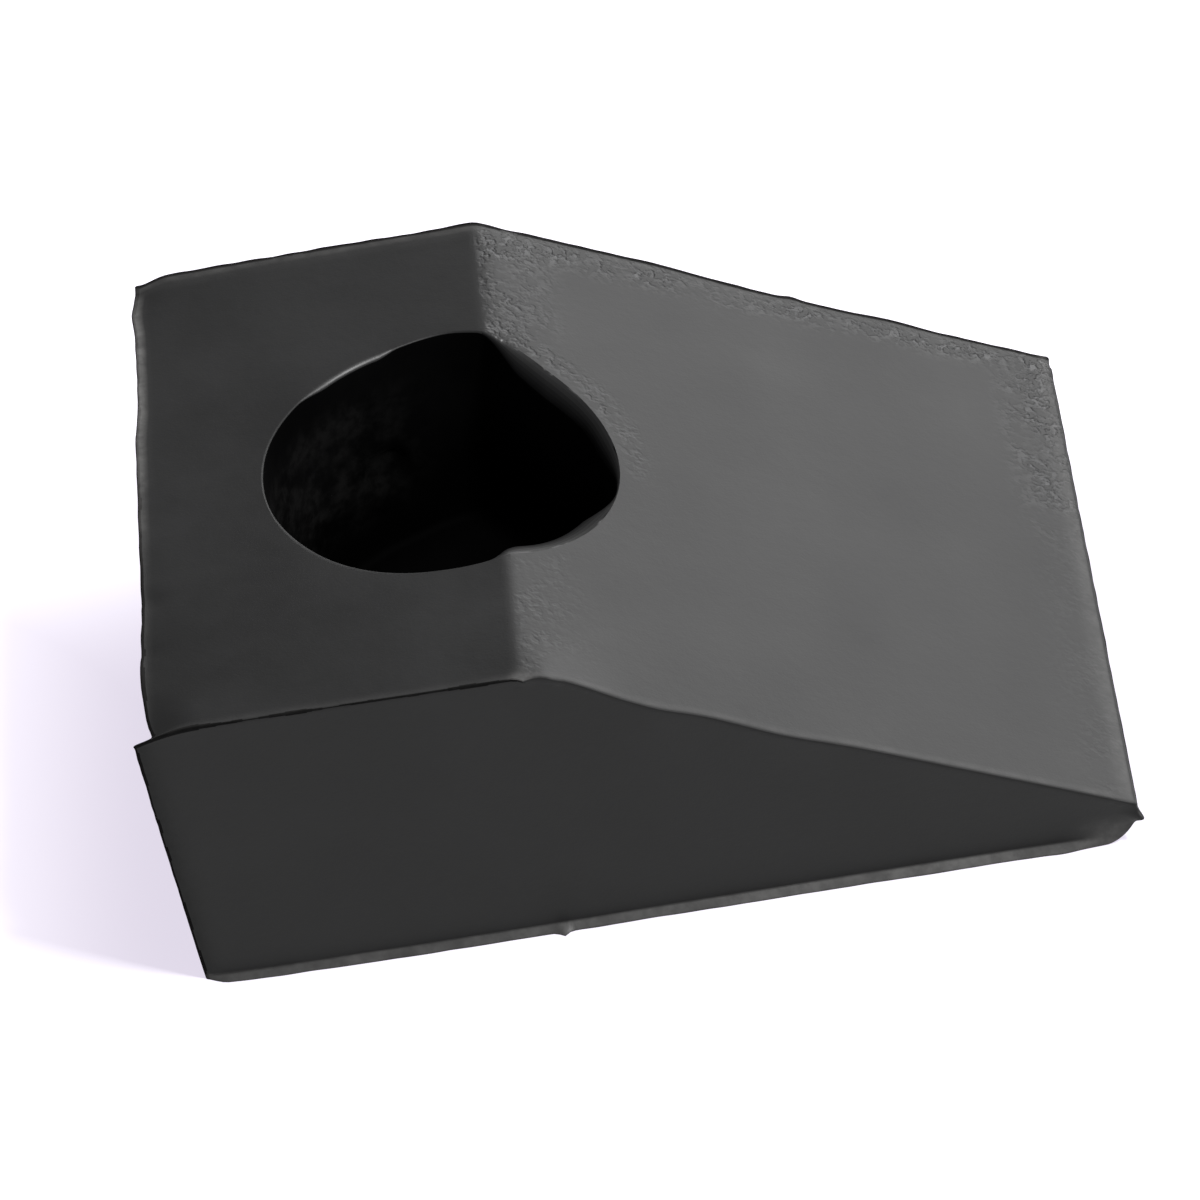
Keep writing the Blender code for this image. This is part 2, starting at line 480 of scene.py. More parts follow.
def rim_radius(turn):
    """Radius of the recess's edge: slightly out of round, with a scallop at the back end of the ridge."""
    scallop = RIM_SCALLOP * within(RIM_SCALLOPED, np.degrees(turn))
    out_of_round = sum(wave(turn, *part) for part in RIM_OUT_OF_ROUND)
    return float(RECESS_RADIUS + scallop + out_of_round)


def cutter_column(turn):
    """One side of the recess cutter, as (radius, height) points from the screw hole up past the rim."""
    edge = rim_radius(turn)
    inward, down = rim_reach(turn)
    wall = edge - inward
    edge_height = float(top_height(RECESS_X + HALF_LENGTH + edge * math.cos(turn)))
    points = [
        (SCREW_HOLE_RADIUS, -CUTTER_OVERRUN),
        (SCREW_HOLE_RADIUS, POCKET_FLOOR),
        (POCKET_RADIUS, POCKET_FLOOR),
        (POCKET_RADIUS, RECESS_FLOOR),
    ]
    for angle in np.linspace(0.0, math.pi / 2, FLOOR_ROUNDING_SEGMENTS + 1):
        points.append((
            wall - RECESS_FLOOR_ROUNDING * (1.0 - math.sin(angle)),
            RECESS_FLOOR + RECESS_FLOOR_ROUNDING * (1.0 - math.cos(angle)),
        ))
    foot = RECESS_FLOOR + RECESS_FLOOR_ROUNDING
    for share in np.linspace(0.0, 1.0, WALL_SEGMENTS + 1)[1:-1]:
        points.append((wall, foot + (edge_height - down - foot) * share))
    for angle in np.linspace(0.0, RIM_CREASE, RIM_SEGMENTS):
        points.append((
            wall + inward * (1.0 - math.cos(angle)) / (1.0 - math.cos(RIM_CREASE)),
            edge_height - down * (1.0 - math.sin(angle) / math.sin(RIM_CREASE)),
        ))
    rise = down / math.tan(RIM_CREASE)
    run = inward * math.sin(RIM_CREASE) / (1.0 - math.cos(RIM_CREASE))
    beyond = CUTTER_OVERRUN / math.hypot(rise, run)
    points.append((edge + beyond * run, edge_height + beyond * rise))
    points.append((edge + beyond * run, HEIGHT + 2.0 * CUTTER_OVERRUN))
    return points


def rim_finish(turn, step):
    """The material of one face of the cutter, which lies the given number of strips up the rim's rounding.
    The lowest strips take the recess's painted shade, and on soft stretches the rim's finishes paint it
    darker going down.
    """
    back, front, worn = rim_stretches(turn)
    if step < RIM_DARK_SEGMENTS:
        return RECESS
    if worn > RIM_SHADED_FROM:
        return RIM_TOP
    if max(back, front) < RIM_SHADED_FROM:
        return RIM + RIM_CRISP_SHADE
    shade = len(RIM_PAINTED_SHADES) - 1 - (step - RIM_DARK_SEGMENTS) // RIM_SHADE_SEGMENTS
    return RIM + shade if shade >= 0 else RIM_TOP


def make_recess_cutter():
    """The closed solid that the recess, the washer pocket and the screw hole are cut with."""
    bm = bmesh.new()
    columns = []
    for index in range(RECESS_COLUMNS):
        turn = -math.pi + math.tau * index / RECESS_COLUMNS
        column = []
        for radius, height in cutter_column(turn):
            column.append(bm.verts.new((RECESS_X + radius * math.cos(turn), radius * math.sin(turn), height)))
        columns.append(column)
    rim_start = len(columns[0]) - RIM_SEGMENTS - POINTS_PAST_RIM
    for index, column in enumerate(columns):
        after = columns[(index + 1) % RECESS_COLUMNS]
        for low in range(len(column) - 1):
            face = bm.faces.new((column[low], after[low], after[low + 1], column[low + 1]))
            face.material_index = rim_finish(-math.pi + math.tau * index / RECESS_COLUMNS, low - rim_start)
    bm.faces.new([column[0] for column in reversed(columns)])
    bm.faces.new([column[-1] for column in columns])
    bmesh.ops.recalc_face_normals(bm, faces=bm.faces)
    return bm


def object_from_bmesh(name, bm, materials):
    mesh = bpy.data.meshes.new(name)
    bm.to_mesh(mesh)
    bm.free()
    for material in materials:
        mesh.materials.append(material)
    return link(bpy.data.objects.new(name, mesh))


def cut_recess(block, cutter):
    """Cuts the recess into the block's mesh, and removes the cutter."""
    boolean = block.modifiers.new("recess", "BOOLEAN")
    boolean.operation = "DIFFERENCE"
    boolean.solver = "EXACT"
    boolean.object = cutter
    evaluated = block.evaluated_get(bpy.context.evaluated_depsgraph_get())
    cut_mesh = bpy.data.meshes.new_from_object(evaluated)
    plain_mesh = block.data
    cutter_mesh = cutter.data
    block.modifiers.clear()
    block.data = cut_mesh
    bpy.data.objects.remove(cutter)
    bpy.data.meshes.remove(plain_mesh)
    bpy.data.meshes.remove(cutter_mesh)


# Block: how the real moulding differs from its plain shape

SEED_STRIDES = (17.3, 5.9, 11.1)  # how far apart two seeds lie in the noise, along each axis


def noise_at(points, size, seed):
    """Smooth noise of a given grain size at each point, between about -1 and 1."""
    shift = Vector([seed * stride for stride in SEED_STRIDES])
    return np.array([noise.noise(Vector(point) / size + shift) for point in points.tolist()])


TOP_POWER = 4  # how closely the shaping of a top edge keeps to the top


class Form:
    """The points of the block, with what the shaping steps need to know of each."""

    def __init__(self, points, in_recess):
        self.plain = points
        self.moved = points.copy()
        self.in_recess = in_recess
        self.station = points[:, X] + HALF_LENGTH
        self.past_ridge = self.station - RIDGE_STATION
        self.across = points[:, Y]
        self.height = points[:, Z]
        self.rise = self.height / top_height(self.station)
        self.near_top = self.rise**TOP_POWER
        depths = {face: values[0] for face, values in face_depths(points).items()}
        self.front = depths["front"]
        self.back = depths["back"]
        self.top = depths["top"]
        self.thick_end = depths["thick_end"]
        self.nose = depths["nose"]
        self.axis_distance = np.hypot(points[:, X] - RECESS_X, points[:, Y])
        self.turn = np.arctan2(points[:, Y], points[:, X] - RECESS_X)

    def shift(self, amounts, axis):
        self.moved[:, axis] += np.where(self.in_recess, 0.0, amounts)

    def ripple(self, depth, size, seed):
        """Noise of a given depth and grain size."""
        return depth * noise_at(self.plain, size, seed)

    def parting_distance(self):
        """Distance to the parting line: round the top edges, and across the nose under its top edge."""
        sides = np.hypot(np.minimum(self.front, self.back), self.top)
        thick_end = np.hypot(self.thick_end, self.top)
        nose = np.hypot(self.nose, self.height - NOSE_PARTING_HEIGHT)
        return np.minimum(np.minimum(sides, thick_end), nose)


CORNER_DROOPS = ((-1, 1.7 * MM, 7.0 * MM), (1, 0.8 * MM, 6.0 * MM))  # side, drop, reach
DROOP_POWER = 1.5


def droop_thick_corners(form):
    for side, drop, reach in CORNER_DROOPS:
        to_corner = np.hypot(form.station, form.across - side * BASE_HALF_WIDTH)
        falling = smooth_step(reach, 0.0, to_corner) ** DROOP_POWER
        form.shift(-drop * falling * form.near_top, Z)


FIN_WIDTH = 2.3 * MM
FIN_POWER = 0.9  # how the fin narrows towards its foot
FIN_THICKNESS = 0.6 * MM
FIN_ROOT = 6.0 * MM
FIN_RIPPLE = (0.06, 1.8 * MM, 3)  # depth, grain size, seed, as in every ripple below


def flare_front_fin(form):
    """The thin fin of flash that stands out of the thick end along its front corner, widest near the top."""
    width = FIN_WIDTH * np.clip(form.rise, 0.0, 1.0) ** FIN_POWER
    near_end = smooth_step(FIN_ROOT, 0.0, form.thick_end)
    ragged = 1.0 + form.ripple(*FIN_RIPPLE)
    form.shift(-width * ragged * near_end * hill(form.front, FIN_THICKNESS), X)


FOOT_SPREAD = 0.53 * MM
FOOT_TUCK = -1.17  # the share of the spread at the nose, where the foot tucks in
FOOT_TUCK_STATIONS = mm(10.0, 95.0)
FOOT_CORNER_TUCK = 0.75
FOOT_CORNER_REACH = 3.0 * MM
FOOT_SPREAD_REACH = 9.0 * MM
NOSE_FADE = mm(-1.0, 5.0)


def spread_front_foot(form):
    """The front face is fuller at its foot towards the thick end, and tucked in towards the nose."""
    along = blend(1.0, FOOT_TUCK, smooth_step(*FOOT_TUCK_STATIONS, form.station))
    by_corner = np.exp(-np.clip(form.station, 0.0, None) / FOOT_CORNER_REACH)
    along = along * (1.0 - FOOT_CORNER_TUCK * by_corner)
    weight = (1.0 - form.rise) * hill(form.front, FOOT_SPREAD_REACH)
    weight = weight * smooth_step(*NOSE_FADE, form.nose)
    form.shift(-FOOT_SPREAD * along * weight, Y)


EDGE_SWELL_REACH = 2.5 * MM
BACK_SWELL = 0.75 * MM
BACK_SWELL_STATIONS = mm(1.0, 5.0, 58.0, 70.0)
BACK_POWER = 3
BACK_LUMP = (0.35, 84.0 * MM, 3.0 * MM)  # share of the swell, station, reach


def swell_back_edge(form):
    share, station, reach = BACK_LUMP
    along = within(BACK_SWELL_STATIONS, form.station) + share * hill(form.station - station, reach)
    weight = form.rise**BACK_POWER * hill(form.back, EDGE_SWELL_REACH)
    form.shift(BACK_SWELL * along * weight, Y)


FOOT_LIP_HEIGHTS = mm(0.72, 0.88)  # at the thick end and at the nose
FOOT_LIP_WIDTHS = mm(0.90, 1.07)
FOOT_LIP_HEIGHT_RIPPLE = (0.10, 9.0 * MM, 5)
FOOT_LIP_WIDTH_RIPPLE = (0.08, 2.6 * MM, 6)
FOOT_LIP_START = 0.65  # share of its height with which the lip starts at the thick end
FOOT_LIP_START_REACH = 14.0 * MM
FOOT_LIP_REACH = 1.6 * MM
THICK_END_FADE = mm(-0.5, 2.5)


def flare_front_foot(form):
    """The narrow lip along the foot of the front face, where the rubber has flowed out under the mould."""
    along = smooth_step(0.0, LENGTH, form.station)
    band = blend(*FOOT_LIP_HEIGHTS, along) * (1.0 + form.ripple(*FOOT_LIP_HEIGHT_RIPPLE))
    band = band * blend(FOOT_LIP_START, 1.0, smooth_step(0.0, FOOT_LIP_START_REACH, form.station))
    width = blend(*FOOT_LIP_WIDTHS, along) * (1.0 + form.ripple(*FOOT_LIP_WIDTH_RIPPLE))
    ends = smooth_step(*NOSE_FADE, form.nose) * smooth_step(*THICK_END_FADE, form.thick_end)
    lip = width * np.clip(1.0 - form.height / band, 0.0, 1.0)
    form.shift(-lip * hill(form.front, FOOT_LIP_REACH) * ends, Y)


RIDGE_END_LIFT = 1.05 * MM
RIDGE_END_STRETCH = mm(-0.3, 3.1, 3.4, 10.9)  # past the ridge
RIDGE_END_REACH = 3.6 * MM  # in from the front face
RIDGE_BACK_LIFT = 0.25 * MM
RIDGE_BACK_STRETCH = mm(-0.5, 2.0, 2.4, 10.0)  # past the ridge
RIDGE_BACK_BREADTH = mm(0.0, 3.0, 14.0, 24.0)  # in from the back face


def lift_ridge(form):
    """The ridge runs a little further forward at its front end, and slightly behind the recess."""
    front_end = RIDGE_END_LIFT * within(RIDGE_END_STRETCH, form.past_ridge)
    front_end = front_end * np.exp(-np.clip(form.front, 0.0, None) / RIDGE_END_REACH)
    back = RIDGE_BACK_LIFT * within(RIDGE_BACK_STRETCH, form.past_ridge)
    back = back * within(RIDGE_BACK_BREADTH, form.back)
    form.shift((front_end + back) * form.near_top, Z)


RAMP_EDGE_LUMPS = (mm(53.5, 0.40, 3.2), mm(65.8, 0.52, 5.0))  # station, size, reach


def swell_ramp_edge(form):
    for station, size, reach in RAMP_EDGE_LUMPS:
        lump = size * hill(form.station - station, reach)
        form.shift(-lump * form.near_top * hill(form.front, EDGE_SWELL_REACH), Y)


END_SWELL = 0.5 * MM
END_SWELL_LEAST = 0.25
END_SWELL_ACROSS = mm(15.0, 9.0)  # the swell grows between these two places across the block
END_RIPPLE = (0.10 * MM, 5.0 * MM, 12)
END_LUMPS = (mm(31.0, 0.35, 3.0), mm(-28.0, 0.35, 5.0))  # place across, size, reach
END_INSET = mm(0.5, 3.0)


def swell_thick_end(form):
    """The thick end's top edge stands out unevenly, most towards the front."""
    swell = END_SWELL * blend(END_SWELL_LEAST, 1.0, smooth_step(*END_SWELL_ACROSS, form.across))
    swell = swell + form.ripple(*END_RIPPLE)
    for place, size, reach in END_LUMPS:
        swell = swell + size * hill(form.across - place, reach)
    inset = smooth_step(*END_INSET, np.minimum(form.front, form.back))
    form.shift(-swell * form.near_top * hill(form.thick_end, EDGE_SWELL_REACH) * inset, X)


LIP_SIZE = 0.13 * MM
LIP_REACH = 0.32 * MM
LIP_RIPPLES = ((0.08 * MM, 3.2 * MM, 7), (0.06 * MM, 2.0 * MM, 8))
LIP_RISE = 0.7
LIP_RISE_FADE = 1.0 * MM


def raise_flash_lip(form):
    """The ragged lip of flash along the parting line, standing out of the sides and a little over the top."""
    lip = LIP_SIZE + sum(form.ripple(*layer) for layer in LIP_RIPPLES)
    lip = lip * hill(form.parting_distance(), LIP_REACH)
    form.shift(-lip * hill(form.front, LIP_REACH), Y)
    form.shift(lip * hill(form.back, LIP_REACH), Y)
    form.shift(-lip * hill(form.thick_end, LIP_REACH), X)
    form.shift(lip * hill(form.nose, LIP_REACH), X)
    form.shift(LIP_RISE * lip * smooth_step(NOSE_HEIGHT - LIP_RISE_FADE, NOSE_HEIGHT, form.height), Z)


BURRS = (  # station, side, level, outward size, reach
    (40.3 * MM, -1, "top", 0.45 * MM, 0.6 * MM),
    (43.4 * MM, -1, "top", 0.25 * MM, 0.8 * MM),
    (39.0 * MM, -1, "base", 0.6 * MM, 0.5 * MM),
    (73.5 * MM, 1, "top", 0.35 * MM, 0.9 * MM),
    (0.9 * MM, 1, "top", 0.45 * MM, 1.0 * MM),
    (101.3 * MM, -1, "parting", 0.75 * MM, 0.7 * MM),
)
NOSE_BURR_FORWARD = 0.7  # the nose's burr points forward too, by this share of its size


def add_burrs(form):
    levels = {"top": form.top, "base": form.height, "parting": form.height - NOSE_PARTING_HEIGHT}
    for station, side, level, size, reach in BURRS:
        beside = form.front if side < 0 else form.back
        distance = np.sqrt((form.station - station) ** 2 + beside**2 + levels[level] ** 2)
        bump = size * hill(distance, reach)
        form.shift(side * bump, Y)
        if level == "parting":
            form.shift(NOSE_BURR_FORWARD * bump, X)


NICKS = (  # place across, depth, reach
    mm(33.0, 0.25, 0.9),
    mm(-16.0, 0.45, 1.0),
    mm(-24.0, 0.35, 0.8),
)
NICK_SQUEEZE = 0.5  # a nick is longer than it is wide


def press_nicks(form):
    """Small dents in the thick end's top edge."""
    for place, depth, reach in NICKS:
        inward = NICK_SQUEEZE * form.thick_end
        distance = np.sqrt((form.across - place) ** 2 + inward**2 + form.top**2)
        form.shift(-depth * hill(distance, reach), Z)


UNEVENNESS = (mm(0.06, 24.0), mm(0.016, 7.0), mm(0.005, 2.2))  # depth, grain size
UNEVENNESS_SEED = 20
SEAT_CLEARANCE = mm(1.0, 4.0)  # past the washer's pocket


def make_uneven(form):
    """Slow waves and fine ripples over every face, fading out at the inserts' seats."""
    clear = smooth_step(*SEAT_CLEARANCE, form.axis_distance - POCKET_RADIUS)
    for layer, (depth, size) in enumerate(UNEVENNESS):
        for axis in (X, Y, Z):
            seed = UNEVENNESS_SEED + 3 * layer + axis
            form.moved[:, axis] += form.ripple(depth, size, seed) * clear


WALL_MARK = (math.radians(113.0), 22.3 * MM, 3.3 * MM, 0.8 * MM)  # angle, height, radius, depth
WALL_MARK_FLOOR = 0.7  # radius of the mark's floor, as a share of the whole
ON_WALL = 1.0 * MM


def press_wall_mark(form):
    """A shallow round ejector mark in the back wall of the recess."""
    turn, height, radius, depth = WALL_MARK
    distance = np.hypot(RECESS_RADIUS * (form.turn - turn), form.height - height)
    sink = depth * smooth_step(radius, WALL_MARK_FLOOR * radius, distance)
    sink = np.where(form.in_recess & (form.axis_distance > RECESS_RADIUS - ON_WALL), sink, 0.0)
    form.moved[:, X] += sink * np.cos(form.turn)
    form.moved[:, Y] += sink * np.sin(form.turn)


BASE_HOLLOW = 0.15 * MM
BASE_HOLLOW_INSET = mm(2.5, 9.0)


def settle_base(form):
    """The base stays on the floor, except that its middle is sunk in very slightly."""
    inset = np.minimum.reduce([form.front, form.back, form.thick_end, form.nose])
    hollow = BASE_HOLLOW * smooth_step(*BASE_HOLLOW_INSET, inset)
    above = np.clip(form.moved[:, Z], 0.0, None)
    form.moved[:, Z] = np.where(form.height < ON_BASE, hollow, above)


# Block: where its finish changes

LINE_MASK_REACH = 0.42 * MM
FIN_MASK_DEPTH = 1.0 * MM
FIN_MASK_LENGTH = 1.6 * MM


def flash_mask(form):
    """The parting line and the fin, where the colour is darkened as painted shade and the roughness raised.
    """
    fin = hill(form.front, FIN_MASK_DEPTH) * hill(form.thick_end, FIN_MASK_LENGTH)
    return np.maximum(hill(form.parting_distance(), LINE_MASK_REACH), fin)


# Pitted margins of the ramp. A pair of distances is where the pits begin or end, and where they are full.
RIDGE_PITS = 0.9
RIDGE_PITS_STRETCH = mm(-0.6, 0.8, 1.0, 10.0)
RIDGE_PITS_LEAST = 0.25
RIDGE_PITS_ACROSS = mm(-10.0, 25.0)
BACK_PITS = 0.8
BACK_PITS_INSET = 2.2 * MM
BACK_PITS_REACH = 1.6 * MM
BACK_PITS_START = mm(0.0, 1.0)
NOSE_PITS_REACH = mm(8.0, 2.0)
NOSE_PITS_LEAST = 0.12
NOSE_PITS_ACROSS = mm(2.0, 18.0)
RIM_PITS = 0.7
RIM_PITS_REACH = mm(4.5, 1.5)
RIM_PITS_ACROSS = mm(-5.0, 9.0)
PITS_PAST_RIM = mm(0.3, 1.5)
PITS_DEEPEST = 1.0 * MM


def pitted_mask(form):
    """The ramp's margins: along the ridge, the back edge, the nose and the rim of the recess."""
    past_rim = form.axis_distance - RECESS_RADIUS
    toward_back = blend(RIDGE_PITS_LEAST, 1.0, smooth_step(*RIDGE_PITS_ACROSS, form.across))
    ridge = RIDGE_PITS * within(RIDGE_PITS_STRETCH, form.past_ridge) * toward_back
    back = BACK_PITS * hill(form.back - BACK_PITS_INSET, BACK_PITS_REACH)
    back = back * smooth_step(*BACK_PITS_START, form.past_ridge)
    nose = smooth_step(*NOSE_PITS_REACH, form.nose)
    nose = nose * blend(NOSE_PITS_LEAST, 1.0, smooth_step(*NOSE_PITS_ACROSS, form.across))
    rim = RIM_PITS * smooth_step(*RIM_PITS_REACH, past_rim) * smooth_step(*RIM_PITS_ACROSS, form.across)
    pitted = np.maximum.reduce([ridge, back, nose, rim * (form.past_ridge > 0.0)])
    return pitted * (form.top < PITS_DEEPEST) * smooth_step(*PITS_PAST_RIM, past_rim)


PAINTED_RECESS_SHADE_DEPTHS = mm(8.0, 20.0)


def painted_recess_shade_mask(form):
    """How deep a point lies in the recess, for the painted shade that darkens its inside towards black."""
    return smooth_step(*PAINTED_RECESS_SHADE_DEPTHS, form.top) * form.in_recess


# Lighter grey strips: their strengths, as one or as a pair for the two ends, and their places in from the
# edge
SKIN_OF_TOP = 0.05 * MM
AT_RIDGE = mm(-1.0, 2.0)
END_LIGHTENING = (0.10, 0.90)
END_LIGHTENING_STRIP = mm(0.0, 0.2, 0.5, 1.3)
END_LIGHTENING_TURN = mm(-12.0, 9.0)
END_LIGHTENING_ACROSS = mm(-35.0, -28.0, 33.0, 36.0)
BACK_LIGHTENING = (0.34, 0.12)
BACK_LIGHTENING_STRIP = mm(0.2, 0.5, 0.7, 1.5)
FRONT_LIGHTENING = (0.08, 0.22)
FRONT_LIGHTENING_STRIP = mm(0.1, 0.3, 0.5, 1.4)
RIDGE_END_LIGHTENING = 0.8
RIDGE_END_LIGHTENING_REACH = 1.0 * MM
NOSE_LIGHTENING = 0.26
NOSE_LIGHTENING_STRIP = mm(0.1, 0.4, 0.6, 2.4)


def top_edge_lightening(form):
    """Lighter grey strips along the four edges of the top."""
    end = within(END_LIGHTENING_STRIP, form.thick_end) * within(END_LIGHTENING_ACROSS, form.across)
    end = end * blend(*END_LIGHTENING, smooth_step(*END_LIGHTENING_TURN, form.across))
    on_ramp = smooth_step(*AT_RIDGE, form.past_ridge)
    back = within(BACK_LIGHTENING_STRIP, form.back) * blend(*BACK_LIGHTENING, on_ramp)
    front = within(FRONT_LIGHTENING_STRIP, form.front) * blend(*FRONT_LIGHTENING, on_ramp)
    to_ridge_end = np.hypot(form.front, form.past_ridge)
    front = front + RIDGE_END_LIGHTENING * hill(to_ridge_end, RIDGE_END_LIGHTENING_REACH)
    nose = NOSE_LIGHTENING * within(NOSE_LIGHTENING_STRIP, form.nose)
    return np.maximum.reduce([end, back, front, nose]) * (form.top < SKIN_OF_TOP)


FOOT_PAINTED_REFLECTION = (0.42, 0.64)
FOOT_REFLECTION_STATIONS = mm(30.0, 90.0)
FOOT_REFLECTION_HEIGHTS = mm(0.95, 0.65)
FOOT_REFLECTION_REACH = 0.5 * MM
NOSE_FOOT_PAINTED_REFLECTION = 0.55
NOSE_FOOT_LENGTHS = mm(8.0, 1.0)
NOSE_FOOT_HEIGHTS = mm(4.8, 2.0)
NOSE_FOOT_DEPTH = 0.3 * MM


def foot_painted_reflection(form):
    """Painted highlight and floor reflection, as lighter grey, on the foot of the front face and on the foot
    of the nose's front corner.
    """
    foot = blend(*FOOT_PAINTED_REFLECTION, smooth_step(*FOOT_REFLECTION_STATIONS, form.station))
    foot = foot * smooth_step(*FOOT_REFLECTION_HEIGHTS, form.height) * hill(form.front, FOOT_REFLECTION_REACH)
    nose = NOSE_FOOT_PAINTED_REFLECTION * smooth_step(*NOSE_FOOT_LENGTHS, form.nose)
    nose = nose * smooth_step(*NOSE_FOOT_HEIGHTS, form.height) * (form.front < NOSE_FOOT_DEPTH)
    return np.maximum(foot, nose)


WALL_PAINTED_LIGHT = 0.05
WALL_PAINTED_LIGHT_DEPTHS = mm(2.0, 7.0, 15.0, 24.0)
WALL_PAINTED_LIGHT_ANGLES = (85.0, 130.0, 185.0, 215.0)  # degrees round the recess from +X


def lightened_mask(form):
    """Lighter grey strips along the edges of the top, painted highlight and floor reflection on the foot, and
    a faint mottled patch of painted light on the recess's left-back wall.
    """
    edges_and_foot = np.maximum(top_edge_lightening(form), foot_painted_reflection(form)) * ~form.in_recess
    wall = WALL_PAINTED_LIGHT * within(WALL_PAINTED_LIGHT_DEPTHS, form.top) * form.in_recess
    wall = wall * within(WALL_PAINTED_LIGHT_ANGLES, np.degrees(form.turn % math.tau))
    return np.maximum(edges_and_foot, wall)


MASKS = {"flash": flash_mask, "pitted": pitted_mask, "painted_recess_shade": painted_recess_shade_mask, "lightened": lightened_mask}


def store_masks(mesh, form):
    for name, mask in MASKS.items():
        layer = mesh.attributes.new(name, "FLOAT", "POINT")
        layer.data.foreach_set("value", np.clip(mask(form), 0.0, 1.0).astype(np.float32))


# Torn strip along the parting line, whose dull finish also paints a shaded line there: its reach to either
# side, and what each stretch adds to it
TORN_REACH = 0.38 * MM
TORN_ON_FRONT_RAMP = -0.42 * MM
TORN_ON_FRONT_FLAT = -0.13 * MM
TORN_ON_BACK = 0.16 * MM
TORN_BY_FIN = 0.20 * MM
TORN_COARSE = mm(0.14, 0.24)  # depth elsewhere and on the front flat
TORN_COARSE_GRAIN = (4.0 * MM, 31)
TORN_FINE = (0.08 * MM, 1.0 * MM, 32)
FRONT_STRIP = 2.0 * MM
FRONT_RAMP_START = mm(-3.0, 5.0)
BACK_START = mm(5.0, 3.0)
FIN_END = mm(12.0, 3.0)
CORNER_INSET = 0.12 * MM
NICK_STRIP_SQUEEZE = 0.45
NICK_STRIP_GAIN = 0.2
NICK_STRIP_DEPTH = 0.3 * MM


def mark_flash_faces(mesh, form):
    """Gives a ragged strip along the parting line and down the fin the dull finish of torn flash, whose
    darker colour and low specular level paint a shaded line there.
    """
    by_front = form.front < FRONT_STRIP
    on_front_ramp = smooth_step(*FRONT_RAMP_START, form.past_ridge) * by_front
    by_fin = smooth_step(*FIN_END, form.station) * by_front
    on_front_flat = by_front * (1.0 - on_front_ramp) * (1.0 - by_fin)
    reach = TORN_REACH + TORN_ON_FRONT_RAMP * on_front_ramp + TORN_ON_FRONT_FLAT * on_front_flat
    reach = reach + TORN_ON_BACK * smooth_step(*BACK_START, form.back) + TORN_BY_FIN * by_fin
    reach = reach + form.ripple(blend(*TORN_COARSE, on_front_flat), *TORN_COARSE_GRAIN)
    reach = reach + form.ripple(*TORN_FINE)
    corner = np.hypot(form.thick_end, form.front)
    distance = np.minimum(form.parting_distance(), corner + CORNER_INSET)
    for place, _, nick_reach in NICKS:
        to_nick = np.hypot(form.across - place, NICK_STRIP_SQUEEZE * form.thick_end)
        nearer = np.minimum(distance, to_nick - NICK_STRIP_GAIN * nick_reach)
        distance = np.where(form.top < NICK_STRIP_DEPTH, nearer, distance)
    torn = distance < reach
    for face in mesh.polygons:
        if face.material_index == OUTSIDE and torn[list(face.vertices)].all():
            face.material_index = FLASH


def crease_rim(mesh):
    """Keeps the shading crisp where the rim of the recess meets the top."""
    sides = {}
    for face in mesh.polygons:
        outside = face.material_index in (OUTSIDE, FLASH)
        for key in face.edge_keys:
            sides.setdefault(key, set()).add(outside)
    for edge in mesh.edges:
        edge.use_edge_sharp = len(sides[edge.key]) == 2


def add_block():
    """The moulded block, in place of the plain one."""
    materials = [make_rubber(), make_recess_rubber(), make_flash_rubber(), *make_rim_rubbers()]
    points, faces = make_block_surface()
    mesh = bpy.data.meshes.new("moulded_block")
    mesh.from_pydata(points.tolist(), [], faces.tolist())
    for material in materials:
        mesh.materials.append(material)
    block = link(bpy.data.objects.new("moulded_block", mesh))
    cut_recess(block, object_from_bmesh("recess_cutter", make_recess_cutter(), materials))
    mesh = block.data
    places = np.empty(len(mesh.vertices) * 3, dtype=np.float32)
    mesh.vertices.foreach_get("co", places)
    places = places.reshape(-1, 3).astype(float)
    in_recess = np.zeros(len(places), dtype=bool)
    for face in mesh.polygons:
        if face.material_index != OUTSIDE:
            in_recess[list(face.vertices)] = True
    form = Form(places, in_recess)
    for shape in (
        spread_front_foot,
        swell_back_edge,
        lift_ridge,
        swell_ramp_edge,
        droop_thick_corners,
        flare_front_foot,
        swell_thick_end,
        flare_front_fin,
        raise_flash_lip,
        add_burrs,
        press_nicks,
        make_uneven,
        press_wall_mark,
        settle_base,
    ):
        shape(form)
    mesh.vertices.foreach_set("co", form.moved.astype(np.float32).ravel())
    mark_flash_faces(mesh, form)
    store_masks(mesh, form)
    mesh.shade_smooth()
    crease_rim(mesh)
    mesh.update()
    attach(block, "root")
    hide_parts("wedge_body")


# Materials

# Noise layers of the rubber: grain size, detail
SMUDGES = (14.0 * MM, 4.0)
BLOTCHES = (1.3 * MM, 3.0)
GRAIN = (0.28 * MM, 2.0)
PITS = (0.80 * MM, 1.5)
PIT_PATCHES = (4.5 * MM, 3.0)
STREAKS = (3.4 * MM, 4.0)
NOISE_ROUGHNESS = 0.55

MIX_COLOUR_INPUTS = (6, 7)  # the colour sockets of a mix node, among those for its other kinds
MIX_COLOUR_OUTPUT = 2

# Ranges of a noise, and what they become where it isn't 0 to 1
EVEN_RANGE = (0.35, 0.65)
PIT_RANGE = (0.42, 0.62)
PATCH_RANGE = (0.38, 0.56)
PATCH_SHARES = (0.18, 1.0)
FLASH_SHADE_RANGE = (0.40, 0.60)
FLASH_SHADE_SHARES = (0.35, 1.0)
STREAK_RANGE = (0.36, 0.58)
MOTTLE_RANGE = (0.35, 0.60)
MOTTLE_DARK = 0.7  # shares of the raggedness
MOTTLE_LIGHT = 0.2

